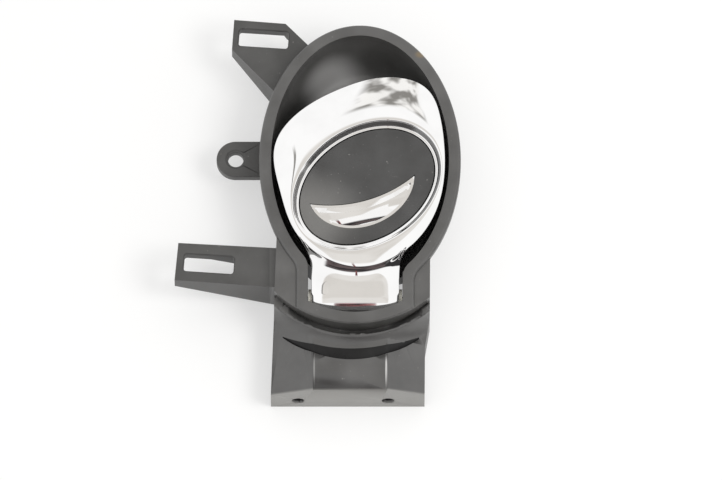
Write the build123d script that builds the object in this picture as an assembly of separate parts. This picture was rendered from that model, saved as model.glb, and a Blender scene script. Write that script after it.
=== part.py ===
"""Interior door handle: a bowl housing, a hinged release lever and a lock knob on the same pin."""
import math
import os

from build123d import *

os.makedirs("parts", exist_ok=True)

# Housing, millimetres
RIM_HALF_W = 42.5
RIM_HALF_L = 61.5
RIM_BAND = 5.0
RIM_Z = 28.0
RIM_THICK = 3.0
RIM_EDGE_R = 1.3
WALL = 2.5
BOWL_FLOOR_SHARE = 0.8
NECK_X = -2.0
SADDLE_IN = 33.5
SADDLE_Y = SADDLE_IN - RIM_HALF_L
SADDLE_R = 41.2
CORNER_R = 9.0
SHOULDER_DROP = 1.2
LIP_DROP = 5.5
LIP_WIDTH = 0.9
CHANNEL_WIDTH = 2.7
CHANNEL_Z = 18.8
CHANNEL_DIP_R = 110.0
COVE_RUN = 9.4
COVE_SPAN = 49.0
BLOCK_REACH = 73.0
END_Y = SADDLE_Y - BLOCK_REACH
BLOCK_LEFT = -37.4
BLOCK_RIGHT = 27.1
BLOCK_TOP_Z = 20.0
BLOCK_SIDE_Z = 12.5
PANEL_LEFT = -19.7
PANEL_RIGHT = 11.3
PORT_R = 2.75
PORT_Z = 6.7
PORT_LEFT_X = -26.0
PORT_RIGHT_X = 11.8
PANEL_DROP = 0.8
CREASE_R = 1.5
POCKET_OUT = 19.0
POCKET_Y = SADDLE_Y - POCKET_OUT

# Brackets
BRACKET_Z = 22.0
BRACKET_THICK = 4.5
WEB_THICK = 2.2
SLOT_LENGTH = 21.0
SLOT_WIDTH = 7.6
UPPER_SLOT = (1.7 - RIM_HALF_W, RIM_HALF_L - 3.9)
LOWER_SLOT = (BLOCK_LEFT - 26.1, SADDLE_Y - 17.1)
BRACKET_TURN = -4.0
TAB_Z = 14.0
TAB_THICK = 4.0
TAB_X = -RIM_HALF_W - 10.0
TAB_Y = 5.7
TAB_R = 8.1
TAB_HOLE_R = 3.25
TAB_ROOT_X = 2.5 - RIM_HALF_W
LOWER_ROOT_X = BLOCK_LEFT - 0.6
UPPER_ROOT = (12.5 - RIM_HALF_W, RIM_HALF_L - 19.9)
UPPER_ROOT_TURN = 54.0

# Hinge
PIN_OUT = 33.0
PIN_Y = SADDLE_Y - PIN_OUT
PIN_Z = 19.2
PIN_R = 2.0
PIN_SEAT = 0.02
RUN_GAP = 0.05
SIDE_GAP = 0.2
CHEEK = 3.0
BOSS_R = 5.5
BOSS_OUT = 1.0
BUSH_R = 3.4
BUSH_FLANGE_R = 5.0
KNUCKLE_IN = 14.0
KNUCKLE_OUT = 17.5

# Lever
NECK_HALF_W = 18.5
NECK_GAP = 1.4
CREST_EDGE_Z = 29.0
SKIRT_Z = 24.0
SHELL_WALL = 1.6
BARREL_R = 7.8
BARREL_WALL = 2.0
BARREL_END = 190.0
BARREL_ROOM = 0.5
CROWN = 1.8
OVAL_X = 3.0
OVAL_Y = round(PIN_Y + 46.9, 3)
OVAL_TURN = 37.5
RIDGE_LONG = 34.5
RIDGE_SHORT = 26.2
RIDGE_Z = 34.0
RIDGE_SLOPE = 0.034
CARRIER_LOW_Z = 23.0
CARRIER_TOP_Z = 26.0
CARRIER_NECK_Z = 22.0
FIT_GAP = 0.15
HORN_HALF = 3.7
HORN_Z = 6.5
LEVER_SCREWS = [(-14.0, PIN_Y + 80.0), (16.0, PIN_Y + 87.0), (-10.5, PIN_Y + 17.0)]
LEVER_PLAN = [
    (28.6, 92.6),
    (12.6, 98.0),
    (-8.4, 92.7),
    (-25.2, 82.7),
    (-35.4, 69.0),
    (-33.6, 45.0),
    (-26.4, 25.0),
    (-2.0, 11.0),
    (24.5, 23.5),
    (34.2, 43.0),
    (35.6, 62.0),
    (33.7, 79.5),
]
LEVER_OUTLINE = [(x, round(PIN_Y + reach, 3)) for x, reach in LEVER_PLAN]

# Return spring
COIL_R = 4.3
WIRE = 1.1
COIL_PITCH = 1.55
COIL_TURNS = 4.75

# Lock knob
PLATE_Z = 31.8
PLATE_LONG = 31.0
PLATE_SHORT = 22.7
PLATE_GAP = 1.0
PLATE_THICK = 3.4
PLATE_EDGE = 0.8
LIP = 1.2
SCOOP_X = OVAL_X - 2.5
SCOOP_Y = OVAL_Y + 1.5
SCOOP_LONG = 23.4
SCOOP_SHORT = 19.0
SCOOP_TURN = 30.0
BROW_X = OVAL_X - 15.9
BROW_Y = OVAL_Y + 45.6
BROW_R = 54.0
SCOOP_DROP = 0.5
SCOOP_DEPTH = 5.6
SCOOP_WALL = 1.2
SCOOP_ROLL_R = 13.5
ARM_HALF_W = 5.5
ARM_BOSS_R = 4.9
ARM_TOP_Z = 18.5
ARM_THICK = 4.0
FLANGE_THICK = 2.5
LOCK_SCREWS = [(OVAL_X - 10.0, OVAL_Y + 3.1), (OVAL_X + 6.0, OVAL_Y + 11.1)]

# Bump stops
STOP_R = 2.6
STOP_H = 3.4
STOP_POST_R = 3.2
STOP_X = 14.5
STOP_IN = 7.3
LOCK_STOP_IN = 15.5

NECK_TOP_Z = PIN_Z + BARREL_R
SHOULDER_R = SADDLE_R + RIM_BAND
BOWL_DEPTH = RIM_Z - WALL
NECK_OPEN = NECK_HALF_W + NECK_GAP
LIP_R = SHOULDER_R + CHANNEL_WIDTH + LIP_WIDTH
LIP_Z = RIM_Z - LIP_DROP
BOWL_HALF_W = RIM_HALF_W - RIM_BAND
BOWL_HALF_L = RIM_HALF_L - RIM_BAND
RINGS = 16


def box(x0, x1, y0, y1, z0, z1):
    """Box between two corners."""
    centre = Pos((x0 + x1) / 2, (y0 + y1) / 2, (z0 + z1) / 2)
    return centre * Box(x1 - x0, y1 - y0, z1 - z0)


def rod(radius, x0, x1, y=PIN_Y, z=PIN_Z):
    """Cylinder along X, on the hinge axis unless told otherwise."""
    return Pos((x0 + x1) / 2, y, z) * Rot(0, 90, 0) * Cylinder(radius, x1 - x0)


def tube(outer, inner, x0, x1):
    """Tube along the hinge axis."""
    return rod(outer, x0, x1) - rod(inner, x0 - 1, x1 + 1)


def post(radius, x, y, z0, z1):
    """Upright cylinder."""
    return Pos(x, y, (z0 + z1) / 2) * Cylinder(radius, z1 - z0)


def prism(points, x0, x1):
    """Side outline of (y, z) points, drawn out along X."""
    face = make_face(Polyline([(x0, y, z) for y, z in points], close=True))
    return extrude(face, amount=x1 - x0, dir=(1, 0, 0))


def slab(sketch, z0, z1):
    """Plan sketch drawn up from z0 to z1."""
    return extrude(Pos(0, 0, z0) * sketch, amount=z1 - z0, dir=(0, 0, 1))


def web(p, q, drop_p, drop_q):
    """Upright wall under the edge from p to q, standing to the left of it."""
    along = Vector(q[0] - p[0], q[1] - p[1]).normalized()
    top = BRACKET_Z - 0.5
    corners = [
        (p[0], p[1], top),
        (q[0], q[1], top),
        (q[0], q[1], BRACKET_Z - drop_q),
        (p[0], p[1], BRACKET_Z - drop_p),
    ]
    face = make_face(Polyline(corners, close=True))
    return extrude(face, amount=WEB_THICK, dir=(-along.Y, along.X, 0))


def coil_start():
    """X of the first turn of the return spring."""
    return NECK_X - KNUCKLE_IN + 0.9


# Rim and bowl

def strap(grow):
    """Plan of the neck, from inside the oval down to the saddle arc."""
    half = NECK_OPEN + grow
    reach = SADDLE_R + grow
    side = Pos(NECK_X, SADDLE_Y - reach / 2 - 1) * Rectangle(2 * half, reach + 2)
    return side & Pos(NECK_X, SADDLE_Y) * Circle(reach)


def rim_solid(grow, z0, z1):
    """Oval and neck together, with the two inside corners rounded."""
    oval = Ellipse(BOWL_HALF_W + grow, BOWL_HALF_L + grow)
    solid = slab(oval + strap(grow), z0, z1)
    upright = solid.edges().filter_by(Axis.Z).sort_by(Axis.Y)
    inside = [e for e in upright if (e @ 0.5).Y < -10]
    return fillet(inside[2:4], CORNER_R)


def bowl(grow):
    """Inside of the bowl, or its outside when grown by the wall."""
    rings = []
    for step in range(5):
        turn = math.radians(22.5 * step)
        share = BOWL_FLOOR_SHARE + (1 - BOWL_FLOOR_SHARE) * math.cos(turn)
        half_w = BOWL_HALF_W * share + grow
        half_l = BOWL_HALF_L * share + grow
        level = RIM_Z - grow - BOWL_DEPTH * math.sin(turn)
        rings.append(Pos(0, 0, level) * Ellipse(half_w, half_l))
    return loft(rings)


# Shoulders and cable block

def lower_plan(inset):
    """Plan of the shoulders and the block, inset for the hollow."""
    corners = [
        (BLOCK_LEFT + 2.4 + inset, SADDLE_Y - 6 - inset),
        (BLOCK_LEFT + inset, END_Y + inset),
        (BLOCK_RIGHT - inset, END_Y + inset),
        (BLOCK_RIGHT + 0.2 - inset, END_Y + 22),
        (BLOCK_RIGHT + 2.2 - inset, END_Y + 34),
        (BLOCK_RIGHT + 2.4 - inset, SADDLE_Y - 6 - inset),
    ]
    return make_face(Polyline(corners, close=True))


def roof_z(x):
    """Height of the block's roof, flat over the panel and falling to both sides."""
    left = (x - BLOCK_LEFT + 2) / (PANEL_LEFT - BLOCK_LEFT + 2)
    right = (BLOCK_RIGHT + 4 - x) / (BLOCK_RIGHT + 4 - PANEL_RIGHT)
    return BLOCK_SIDE_Z + (BLOCK_TOP_Z - BLOCK_SIDE_Z) * min(1, left, right)


def cove():
    """Hollow sweep round the saddle, from the lip down to the block's roof."""
    sections = []
    for step in range(-3, 4):
        angle = math.radians(COVE_SPAN * step / 3)
        far = LIP_R + COVE_RUN * math.cos(angle) ** 0.6
        low = roof_z(NECK_X + far * math.sin(angle)) - 1.4
        drop = LIP_Z - low
        sweep_in = ThreePointArc((LIP_R, LIP_Z), (LIP_R + 0.4 * (far - LIP_R), low + 0.29 * drop), (far, low))
        near = SHOULDER_R - 1
        rest = Polyline((far, low), (far, 4), (near, 4), (near, LIP_Z), (LIP_R, LIP_Z))
        out = (math.sin(angle), -math.cos(angle), 0)
        wall = Plane(origin=(NECK_X, SADDLE_Y, 0), x_dir=out, z_dir=(-math.cos(angle), -math.sin(angle), 0))
        sections.append(wall * make_face(sweep_in + rest))
    return loft(sections)


def lower_solid(inset):
    """Shoulders, channel, cove and block as one solid, open below z = 0 when inset."""
    base = -1.0 if inset else 0.0
    plan = lower_plan(inset)
    middle = Pos(NECK_X, SADDLE_Y)
    drop = inset * 1.0
    profile = [
        (BLOCK_LEFT - 2, 0, base),
        (BLOCK_LEFT - 2, 0, BLOCK_SIDE_Z - drop),
        (PANEL_LEFT, 0, BLOCK_TOP_Z - drop),
        (PANEL_RIGHT, 0, BLOCK_TOP_Z - drop),
        (BLOCK_RIGHT + 4, 0, BLOCK_SIDE_Z - drop),
        (BLOCK_RIGHT + 4, 0, base),
    ]
    roof = extrude(make_face(Polyline(profile, close=True)), amount=140, dir=(0, -1, 0))
    creases = [e for e in roof.edges().filter_by(Axis.Y) if (e @ 0.5).Z > BLOCK_TOP_Z - drop - 0.1]
    roof = fillet(creases, CREASE_R)
    solid = roof & slab(plan, base, BLOCK_TOP_Z + 1)
    if not inset:
        solid += cove() & slab(plan, base, RIM_Z)
        groove = slab(middle * (Circle(SHOULDER_R + CHANNEL_WIDTH) - Circle(SHOULDER_R)), CHANNEL_Z, RIM_Z)
        dip = Pos(NECK_X, END_Y / 2, CHANNEL_Z + CHANNEL_DIP_R) * Rot(90, 0, 0) * Cylinder(CHANNEL_DIP_R, -END_Y)
        solid -= groove & dip
    shoulder = slab(plan & middle * Circle(SHOULDER_R - inset), base, RIM_Z - SHOULDER_DROP - drop)
    return solid + shoulder


# Brackets and tab

def upper_bracket():
    outline = [(-12.5, 8.6), (9.3, 6.8), (18.8, -3.0), (20.8, -9.6), (8.8, -26.6), (4.3, -24.0), (-13.4, -5.0)]
    corners = [(UPPER_SLOT[0] + x, UPPER_SLOT[1] + y) for x, y in outline]
    plate = slab(make_face(Polyline(corners, close=True)), BRACKET_Z - BRACKET_THICK, BRACKET_Z)
    plate += web(corners[6], corners[5], 7.8, 17.7)
    plate += web(corners[2], corners[1], 14.0, 6.5)
    plate += web(corners[0], corners[6], 6.5, 7.8)
    return plate


def lower_bracket():
    outline = [(-12.9, 9.4), (-14.4, -7.4), (29.5, -10.8), (29.5, 7.0)]
    corners = [(LOWER_SLOT[0] + x, LOWER_SLOT[1] + y) for x, y in outline]
    plate = slab(make_face(Polyline(corners, close=True)), BRACKET_Z - BRACKET_THICK, BRACKET_Z)
    plate += web(corners[1], corners[2], 6.7, 20.5)
    plate += web(corners[3], corners[0], 20.5, 6.7)
    plate += web(corners[0], corners[1], 6.5, 6.7)
    return plate


def slot(x, y):
    """Clip slot through a bracket, with a bevelled mouth."""
    plan = Pos(x, y) * Rot(0, 0, BRACKET_TURN) * RectangleRounded(SLOT_LENGTH, SLOT_WIDTH, 1.2)
    wide = Pos(x, y) * Rot(0, 0, BRACKET_TURN) * RectangleRounded(SLOT_LENGTH + 1, SLOT_WIDTH + 1, 1.7)
    mouth = loft([Pos(0, 0, BRACKET_Z - 0.5) * plan, Pos(0, 0, BRACKET_Z) * wide])
    return slab(plan, BRACKET_Z - 12, BRACKET_Z + 1) + mouth


def tab():
    plate = slab(Pos(TAB_X, TAB_Y) * Circle(TAB_R), TAB_Z - TAB_THICK, TAB_Z)
    plate += box(TAB_X, 8.5 - RIM_HALF_W, TAB_Y - TAB_R, TAB_Y + TAB_R, TAB_Z - TAB_THICK, TAB_Z)
    return plate


def bowl_end(x):
    """Y of the bowl's rim on the hinge side, at one X."""
    return -BOWL_HALF_L * math.sqrt(1 - (x / BOWL_HALF_W) ** 2)


def stop_places():
    """Centres of the bump stops: left, right and under the lock arm."""
    left = NECK_X - STOP_X
    right = NECK_X + STOP_X
    return [(left, bowl_end(left) + STOP_IN), (right, bowl_end(left) + STOP_IN), (0, bowl_end(0) + LOCK_STOP_IN)]


def rounded_rim():
    """Rim plate with its outer edge rolled over."""
    rim = rim_solid(RIM_BAND, RIM_Z - RIM_THICK, RIM_Z)
    return fillet(rim.faces().sort_by(Axis.Z)[-1].edges(), RIM_EDGE_R)


def moulding():
    """The whole plastic moulding, before it is parted into its limbs."""
    left = NECK_X - NECK_OPEN
    right = NECK_X + NECK_OPEN
    body = lower_solid(0) - lower_solid(WALL)
    body += bowl(WALL)
    body += rounded_rim()
    body += upper_bracket()
    body += lower_bracket()
    body += tab()
    inside = Pos(NECK_X, SADDLE_Y) * Circle(SHOULDER_R - WALL / 2)
    for x0, x1 in ((left - CHEEK, left), (right, right + CHEEK)):
        plan = Pos((x0 + x1) / 2, SADDLE_Y - 30) * Rectangle(CHEEK, 36) & inside
        body += slab(plan, 0, RIM_Z - SHOULDER_DROP - WALL / 2)
    body += rod(BOSS_R, left - CHEEK - BOSS_OUT, left)
    body += rod(BOSS_R, right, right + CHEEK + BOSS_OUT)
    body -= bowl(0)
    body -= rim_solid(0, RIM_Z - RIM_THICK - 1, RIM_Z + 1)
    pocket = strap(0) & Pos(NECK_X, POCKET_Y - 30) * Rectangle(120, 60)
    body -= slab(pocket, -1, RIM_Z + 1)
    body -= rod(BARREL_R + BARREL_ROOM, NECK_X - NECK_HALF_W - BARREL_ROOM, NECK_X + NECK_HALF_W + BARREL_ROOM)
    tops = [CARRIER_NECK_Z, CARRIER_NECK_Z, ARM_TOP_Z - ARM_THICK]
    for (x, y), top in zip(stop_places(), tops):
        body += post(STOP_POST_R, x, y, 0, top - STOP_H) & bowl(WALL)
    anchor_x = coil_start() + COIL_TURNS * COIL_PITCH
    anchor_z = PIN_Z - COIL_R
    body += box(anchor_x - 1.9, anchor_x + 1.9, POCKET_Y, POCKET_Y + 4, WALL / 2, anchor_z + 2.5)
    body -= box(anchor_x - 0.6, anchor_x + 0.6, POCKET_Y - 1, POCKET_Y + 5, anchor_z - 0.6, anchor_z + 0.6)
    body -= rod(PIN_R + PIN_SEAT, left - 8, right + 8)
    pin_end = NECK_OPEN + CHEEK + BOSS_OUT
    body -= rod(PIN_R + 0.75, NECK_X - pin_end - 20, NECK_X - pin_end)
    body -= rod(PIN_R + 2.3, NECK_X + pin_end, NECK_X + pin_end + 3)
    body -= slot(*UPPER_SLOT)
    body -= slot(*LOWER_SLOT)
    body -= post(TAB_HOLE_R, TAB_X, TAB_Y, TAB_Z - 8, TAB_Z + 2)
    body -= post(TAB_HOLE_R + 0.9, TAB_X, TAB_Y, TAB_Z - 0.6, TAB_Z + 2)
    for x in (PORT_LEFT_X, PORT_RIGHT_X):
        body -= Pos(x, END_Y, PORT_Z) * Rot(90, 0, 0) * Cylinder(PORT_R, 12)
    panel_in = SADDLE_Y - LIP_R - COVE_RUN - 1.5
    wedge = [(panel_in, BLOCK_TOP_Z), (END_Y - 1, BLOCK_TOP_Z - PANEL_DROP), (END_Y - 1, RIM_Z), (panel_in, RIM_Z)]
    body -= prism(wedge, PANEL_LEFT, PANEL_RIGHT)
    return body


MOULDING = moulding()
UPPER_LIMB = Pos(*UPPER_ROOT) * Rot(0, 0, UPPER_ROOT_TURN) * Pos(4, 40, RIM_Z / 2 - RIM_THICK) * Box(52, 80, RIM_Z)
LOWER_LIMB = box(LOWER_SLOT[0] - 26.5, LOWER_ROOT_X, SADDLE_Y - 32, SADDLE_Y - 2, 0, RIM_Z)
TAB_LIMB = box(TAB_X - 17.5, TAB_ROOT_X, TAB_Y - 12, TAB_Y + 12, 0, TAB_Z + 1)
BLOCK_LIMB = box(LOWER_ROOT_X, BLOCK_RIGHT + 33, END_Y - 5, SADDLE_Y - 22, -1, RIM_Z)
BLOCK_LIMB -= post(SHOULDER_R, NECK_X, SADDLE_Y, -2, RIM_Z + 1)


def housing():
    """Bowl, rim and shoulders, once the limbs are parted from it."""
    body = MOULDING
    for limb in (UPPER_LIMB, LOWER_LIMB, TAB_LIMB, BLOCK_LIMB):
        body -= limb
    return body


def limb(room):
    """One limb of the moulding."""
    return MOULDING & room


# Hinge line

def hinge_pin():
    left = NECK_X - NECK_OPEN - CHEEK - BOSS_OUT
    right = NECK_X + NECK_OPEN + CHEEK + BOSS_OUT
    pin = rod(PIN_R, left, right + 2.4)
    pin += rod(PIN_R + 0.6, left - 1.4, left)
    pin -= tube(PIN_R + 1, PIN_R - 0.5, right + 0.2, right + 1.2)
    return pin


def pin_retaining_ring():
    right = NECK_X + NECK_OPEN + CHEEK + BOSS_OUT
    return tube(PIN_R + 1.9, PIN_R - 0.5, right + 0.2, right + 1.2)


def lever_bush(side):
    barrel_in = NECK_X + side * KNUCKLE_IN
    barrel_out = NECK_X + side * KNUCKLE_OUT
    flange = NECK_X + side * (NECK_OPEN - SIDE_GAP)
    bore = PIN_R + RUN_GAP
    bush = tube(BUSH_R, bore, min(barrel_in, barrel_out), max(barrel_in, barrel_out))
    bush += tube(BUSH_FLANGE_R, bore, min(barrel_out, flange), max(barrel_out, flange))
    return bush


def return_spring():
    start = coil_start()
    end = start + COIL_TURNS * COIL_PITCH
    half = WIRE / 2 + 0.04
    seat = Plane(origin=(start, PIN_Y, PIN_Z), x_dir=(0, 1, 0), z_dir=(1, 0, 0))
    path = seat * Helix(COIL_PITCH, COIL_TURNS * COIL_PITCH, COIL_R)
    spring = sweep((path ^ 0) * Rectangle(WIRE, WIRE), path=path, is_frenet=True)
    side_y = PIN_Y + COIL_R
    low_z = PIN_Z - COIL_R
    spring += box(start - half, start + half, side_y - half, side_y + half, HORN_Z + 2, PIN_Z + 0.3)
    spring += box(start - 3.2, start + half, side_y - half, side_y + half, HORN_Z + 2, HORN_Z + 2 + WIRE)
    spring += box(end - half, end + half, PIN_Y - 0.3, POCKET_Y + 3, low_z - half, low_z + half)
    return spring


# Lever

LEVER_EDGE = Spline(LEVER_OUTLINE, periodic=True)


def oval(grow):
    """Plan of the lock plate, grown all round."""
    return Pos(OVAL_X, OVAL_Y) * Rot(0, 0, OVAL_TURN) * Ellipse(PLATE_LONG + grow, PLATE_SHORT + grow)


def oval_reach(angle, long, short):
    """Distance from the oval's centre to its edge in one direction."""
    turn = angle - math.radians(OVAL_TURN)
    return long * short / math.hypot(short * math.cos(turn), long * math.sin(turn))


def edge_z(y):
    """Outer edge of the collar, a plane that falls to the neck."""
    top = LEVER_OUTLINE[1][1]
    low = LEVER_OUTLINE[7][1]
    return NECK_TOP_Z + (CREST_EDGE_Z - NECK_TOP_Z) * (y - low) / (top - low)


def ridge_z(y):
    """Ridge round the lock plate, a plane that falls to the neck."""
    return RIDGE_Z + RIDGE_SLOPE * (y - OVAL_Y)


def collar_ring(share, inset, drop, level=None):
    """Closed curve between the lever's edge (share 0) and the ridge (share 1)."""
    points = []
    for step in range(RINGS):
        p = LEVER_EDGE @ (step / RINGS)
        angle = math.atan2(p.Y - OVAL_Y, p.X - OVAL_X)
        far = math.hypot(p.X - OVAL_X, p.Y - OVAL_Y) - inset
        near = oval_reach(angle, RIDGE_LONG, RIDGE_SHORT) - inset
        reach = far + (near - far) * share
        low = edge_z(OVAL_Y + far * math.sin(angle))
        high = ridge_z(OVAL_Y + near * math.sin(angle))
        z = low + (high - low) * (1 - (1 - share) ** CROWN) - drop
        if level is not None:
            z = level
        points.append((OVAL_X + reach * math.cos(angle), OVAL_Y + reach * math.sin(angle), z))
    return Wire([Spline(points, periodic=True)])


def collar(inset, drop, base, straight=False):
    """Collar over its upright skirt, crowned or with a straight slope."""
    shares = (0, 1) if straight else (0, 0.45, 1)
    rings = [collar_ring(share, inset, drop) for share in shares]
    crown = Solid.make_loft(rings, straight)
    skirt = Solid.make_loft([collar_ring(0, inset, 0, base), rings[0]], True)
    return Part() + crown + skirt


def pocket_ring(grow, level=None):
    """Ellipse parallel to the lock plate, on the ridge plane or at one level."""
    points = []
    for step in range(RINGS):
        angle = 2 * math.pi * step / RINGS + math.radians(OVAL_TURN)
        reach = oval_reach(angle, PLATE_LONG, PLATE_SHORT) + grow
        y = OVAL_Y + reach * math.sin(angle)
        z = ridge_z(y) + 1 if level is None else level
        points.append((OVAL_X + reach * math.cos(angle), y, z))
    return Wire([Spline(points, periodic=True)])


def barrel(radius, y_in, x0, x1):
    """Flat neck rolling over the hinge axis, drawn out along X."""
    roll = math.radians(BARREL_END)
    half = (math.radians(90) + roll) / 2
    end = (x0, PIN_Y + radius * math.cos(roll), PIN_Z + radius * math.sin(roll))
    arc = ThreePointArc(
        (x0, PIN_Y, PIN_Z + radius),
        (x0, PIN_Y + radius * math.cos(half), PIN_Z + radius * math.sin(half)),
        end,
    )
    back = Polyline(end, (x0, PIN_Y, PIN_Z), (x0, y_in, PIN_Z), (x0, y_in, PIN_Z + radius), (x0, PIN_Y, PIN_Z + radius))
    return extrude(make_face(arc + back), amount=x1 - x0, dir=(1, 0, 0))


def lever_chrome_shell():
    neck_in = LEVER_OUTLINE[7][1] + 6
    left = NECK_X - NECK_HALF_W
    right = NECK_X + NECK_HALF_W
    outer = collar(0, 0, SKIRT_Z)
    shell = outer + barrel(BARREL_R, neck_in, left, right)
    under = barrel(BARREL_R - BARREL_WALL, neck_in + 1, left - 1, right + 1)
    under += box(left - 1, right + 1, PIN_Y - BARREL_R, neck_in + 1, PIN_Z - BARREL_R, PIN_Z - BARREL_R * 0.19)
    room = collar(SHELL_WALL, SHELL_WALL / 2, SKIRT_Z - 1, True)
    room -= slab(oval(PLATE_GAP + 3.2), CARRIER_TOP_Z, RIDGE_Z + 9)
    shell -= room
    shell -= under
    for x, y in LEVER_SCREWS:
        shell += post(3.0, x, y, CARRIER_TOP_Z, CARRIER_TOP_Z + 4.5)
    shell -= Solid.make_loft([pocket_ring(PLATE_GAP + LIP, PLATE_Z), pocket_ring(RIDGE_LONG - PLATE_LONG - 0.2)], True)
    shell -= slab(oval(PLATE_GAP), SKIRT_Z - 2, RIDGE_Z + 9)
    for x, y in LEVER_SCREWS:
        shell -= post(1.0, x, y, CARRIER_TOP_Z - 1, CARRIER_TOP_Z + 2.6)
    return shell


def horn(x0, x1):
    """Cable horn hanging behind the pin, with the hole for the cable end."""
    points = [
        (PIN_Y - HORN_HALF, PIN_Z),
        (PIN_Y + HORN_HALF, PIN_Z),
        (PIN_Y + HORN_HALF, HORN_Z),
        (PIN_Y - HORN_HALF + 1.5, HORN_Z),
    ]
    return prism(points, x0, x1) - rod(1.6, x0 - 1, x1 + 1, PIN_Y + 0.4, HORN_Z + 3.2)


def lever_carrier():
    inset = SHELL_WALL + FIT_GAP
    rings = [collar_ring(0, inset, 0, CARRIER_LOW_Z), collar_ring(0, inset, 0, CARRIER_TOP_Z)]
    carrier = Part() + Solid.make_loft(rings, True)
    neck_top = NECK_TOP_Z - BARREL_WALL - FIT_GAP
    coil_room = PIN_Y + COIL_R + WIRE + 0.8
    carrier += box(NECK_X - 15.5, NECK_X + 15.5, coil_room, LEVER_OUTLINE[7][1] + 6.8, CARRIER_NECK_Z, neck_top)
    opening = oval(PLATE_GAP + 0.6) + Pos(0, 2.2) * oval(PLATE_GAP + 0.6)
    carrier -= slab(opening, CARRIER_NECK_Z - 1, CARRIER_TOP_Z + 1)
    for side in (-1, 1):
        x0 = NECK_X + side * KNUCKLE_IN
        x1 = NECK_X + side * KNUCKLE_OUT
        carrier += rod(BARREL_R - BARREL_WALL - FIT_GAP, min(x0, x1), max(x0, x1))
        carrier += box(min(x0, x1), max(x0, x1), PIN_Y, coil_room + 3, CARRIER_NECK_Z, neck_top)
    carrier += horn(NECK_X - KNUCKLE_OUT, NECK_X - KNUCKLE_IN)
    carrier -= rod(BUSH_R, NECK_X - 30, NECK_X + 30)
    for x, y in LEVER_SCREWS:
        carrier -= post(1.3, x, y, CARRIER_NECK_Z - 1, CARRIER_TOP_Z + 1)
        carrier -= post(2.5, x, y, CARRIER_NECK_Z - 1, CARRIER_LOW_Z + 1.4)
    return carrier


def lever_screws():
    group = []
    for x, y in LEVER_SCREWS:
        screw = post(2.3, x, y, CARRIER_LOW_Z, CARRIER_LOW_Z + 1.4)
        screw += post(1.0, x, y, CARRIER_LOW_Z + 1.4, CARRIER_TOP_Z + 2.5)
        screw -= box(x - 1.5, x + 1.5, y - 0.3, y + 0.3, CARRIER_LOW_Z - 1, CARRIER_LOW_Z + 0.6)
        screw -= box(x - 0.3, x + 0.3, y - 1.5, y + 1.5, CARRIER_LOW_Z - 1, CARRIER_LOW_Z + 0.6)
        group.append(screw)
    return Compound(children=group)


# Lock knob

def crescent(inset):
    """Plan of the finger scoop."""
    lower = Pos(SCOOP_X, SCOOP_Y) * Rot(0, 0, SCOOP_TURN) * Ellipse(SCOOP_LONG - inset, SCOOP_SHORT - inset)
    return lower - Pos(BROW_X, BROW_Y) * Circle(BROW_R + inset)


def scoop_low():
    """Underside of the scoop."""
    return PLATE_Z - SCOOP_DROP - SCOOP_DEPTH - SCOOP_WALL


def lock_plate():
    plate = slab(oval(0), PLATE_Z - PLATE_THICK, PLATE_Z)
    plate = chamfer(plate.faces().sort_by(Axis.Z)[0].edges(), PLATE_THICK - PLATE_EDGE)
    plate -= slab(crescent(-FIT_GAP), PLATE_Z - 8, PLATE_Z + 1)
    for x, y in LOCK_SCREWS:
        plate += post(2.8, x, y, scoop_low(), PLATE_Z - PLATE_THICK + 0.5)
        plate -= post(1.0, x, y, scoop_low() - 1, PLATE_Z - 1.2)
    return plate


def lock_scoop():
    scoop = slab(crescent(0), scoop_low(), PLATE_Z - SCOOP_DROP)
    across = math.atan2(OVAL_X - 3 - BROW_X, BROW_Y - OVAL_Y + 6.8)
    deep_x = BROW_X + (BROW_R + 2) * math.sin(across)
    deep_y = BROW_Y - (BROW_R + 2) * math.cos(across)
    axis_z = scoop_low() + SCOOP_WALL + SCOOP_ROLL_R
    roll = Pos(deep_x, deep_y, axis_z) * Rot(0, 0, math.degrees(across)) * Rot(0, 90, 0) * Cylinder(SCOOP_ROLL_R, 90)
    return scoop - (roll & slab(crescent(SCOOP_WALL), scoop_low(), axis_z))


def lock_arm():
    low = ARM_TOP_Z - ARM_THICK
    flange_top = scoop_low()
    arm = slab(oval(-9), flange_top - FLANGE_THICK, flange_top)
    riser = PIN_Y + 32
    arm += box(-ARM_HALF_W, ARM_HALF_W, riser - 7.5, riser, low, flange_top)
    arm += box(-ARM_HALF_W, ARM_HALF_W, PIN_Y, riser, low, ARM_TOP_Z)
    arm += rod(ARM_BOSS_R, -ARM_HALF_W, ARM_HALF_W)
    arm += horn(ARM_HALF_W - 3.5, ARM_HALF_W)
    arm -= rod(BUSH_R, -20, 20)
    for x, y in LOCK_SCREWS:
        arm -= post(1.3, x, y, flange_top - 5, flange_top + 1)
        arm -= post(2.3, x, y, flange_top - 5, flange_top - FLANGE_THICK + 1.3)
    return arm


def lock_bush():
    return tube(BUSH_R, PIN_R + RUN_GAP, -ARM_HALF_W - 0.3, ARM_HALF_W + 0.3)


def lock_screws():
    low = scoop_low() - FLANGE_THICK
    group = []
    for x, y in LOCK_SCREWS:
        screw = post(2.1, x, y, low, low + 1.3)
        screw += post(1.0, x, y, low + 1.3, PLATE_Z - 1.3)
        screw -= box(x - 1.4, x + 1.4, y - 0.3, y + 0.3, low - 1, low + 0.6)
        screw -= box(x - 0.3, x + 0.3, y - 1.4, y + 1.4, low - 1, low + 0.6)
        group.append(screw)
    return Compound(children=group)


def spring_sleeve():
    return tube(COIL_R - WIRE / 2 - 0.6, PIN_R + RUN_GAP, NECK_X - KNUCKLE_IN + SIDE_GAP, -ARM_HALF_W - 0.3 - SIDE_GAP)


def lock_wave_washer():
    start = ARM_HALF_W + 0.3 + SIDE_GAP
    return tube(4.6, PIN_R + RUN_GAP, start, start + 0.7)


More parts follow.
